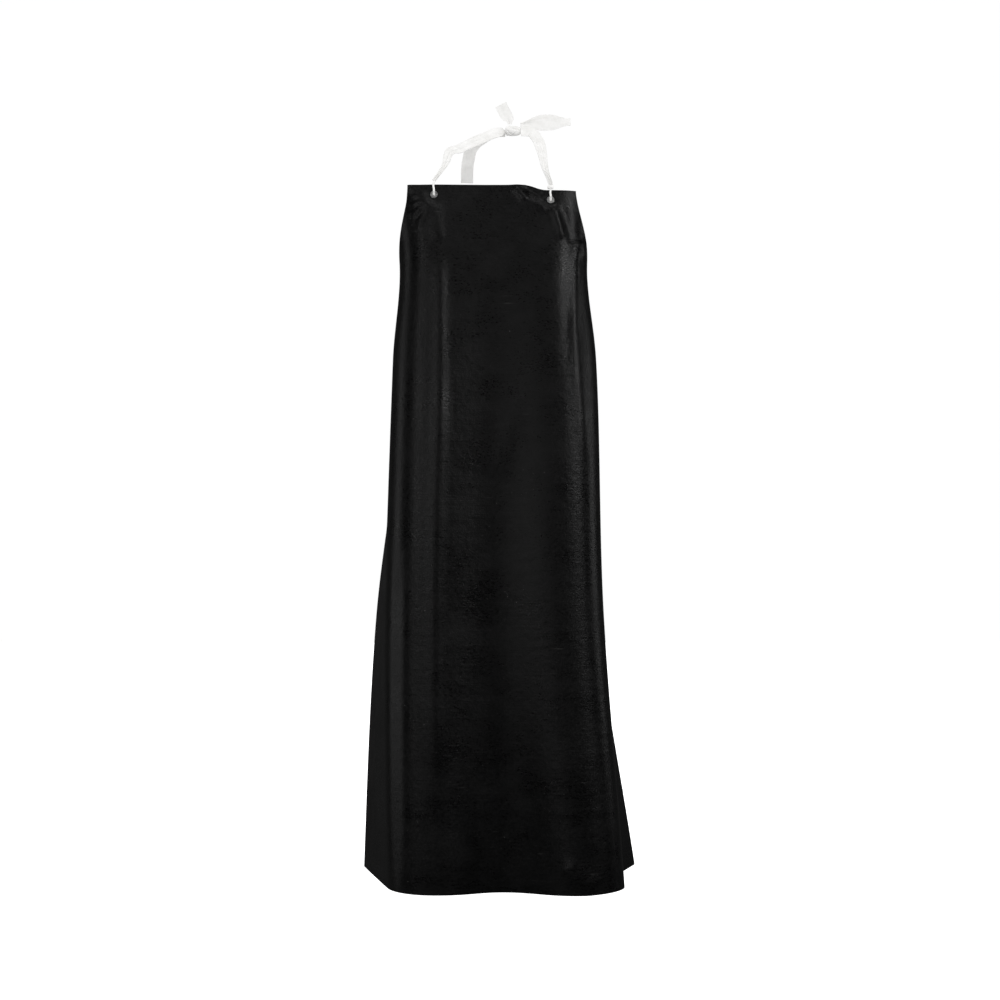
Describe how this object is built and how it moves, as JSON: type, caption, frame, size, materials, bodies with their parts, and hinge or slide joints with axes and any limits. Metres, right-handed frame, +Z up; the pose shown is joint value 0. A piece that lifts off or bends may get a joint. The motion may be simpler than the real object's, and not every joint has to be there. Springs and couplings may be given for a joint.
{
  "type": "lead rubber apron",
  "caption": "Bib-shaped lead rubber apron, hung from a cotton tape neck tie through metal eyelets, for shielding a patient or operator during dental X-rays.",
  "frame": {"origin": "underside of the neck tie at the back of the neck, where the apron hangs from the wearer or a peg", "axes": "+Z up, the apron's front faces -Y, +X towards the camera's right (the wearer's left)"},
  "size_m": [0.4849, 0.4511, 1.3765],
  "materials": {
    "front_skin": "semi-gloss, calendered",
    "shielding_core": "matte, lead-loaded",
    "back_skin": "satin",
    "eyelet": "nickel plated, bright",
    "washer": "nickel plated, dull",
    "tape": "woven cotton tape"
  },
  "bodies": {
    "neck_tie": {"neck_band_left": "tape", "neck_band_right": "tape", "bow_knot": "tape"},
    "apron": {"front_skin": "front_skin", "shielding_core": "shielding_core", "back_skin": "back_skin", "grommet_neck_left": "eyelet", "washer_neck_left": "washer", "grommet_neck_right": "eyelet", "washer_neck_right": "washer", "grommet_waist_left": "eyelet", "washer_waist_left": "washer", "grommet_waist_right": "eyelet", "washer_waist_right": "washer", "strand_left": "tape", "strand_right": "tape", "stopper_knot_left": "tape", "stopper_knot_right": "tape", "front_knot_right": "tape"},
    "bow_loop": {"bow_loop": "tape"},
    "upright_tail": {"upright_tail": "tape"},
    "hanging_tail": {"hanging_tail": "tape"}
  },
  "joints": [
    {"name": "bib_swing", "type": "hinge", "parent": "neck_tie", "child": "apron", "pos_m": [-0.00099, -0.10307, -0.10705], "axis": [0.9989, -0.0044, -0.0459], "range_deg": [-90, 20]},
    {"name": "loop_flop", "type": "hinge", "parent": "neck_tie", "child": "bow_loop", "pos_m": [0.0498, 0.0225, 0.026], "axis": [0, 0, 1], "range_deg": [0, 30]},
    {"name": "upright_tail_flop", "type": "hinge", "parent": "neck_tie", "child": "upright_tail", "pos_m": [0.03, 0.012, 0.0218], "axis": [1, 0, 0], "range_deg": [-60, 60]},
    {"name": "hanging_tail_swing", "type": "hinge", "parent": "neck_tie", "child": "hanging_tail", "pos_m": [0.0222, 0.022, 0.004], "axis": [1, 0, 0], "range_deg": [0, 45]}
  ]
}
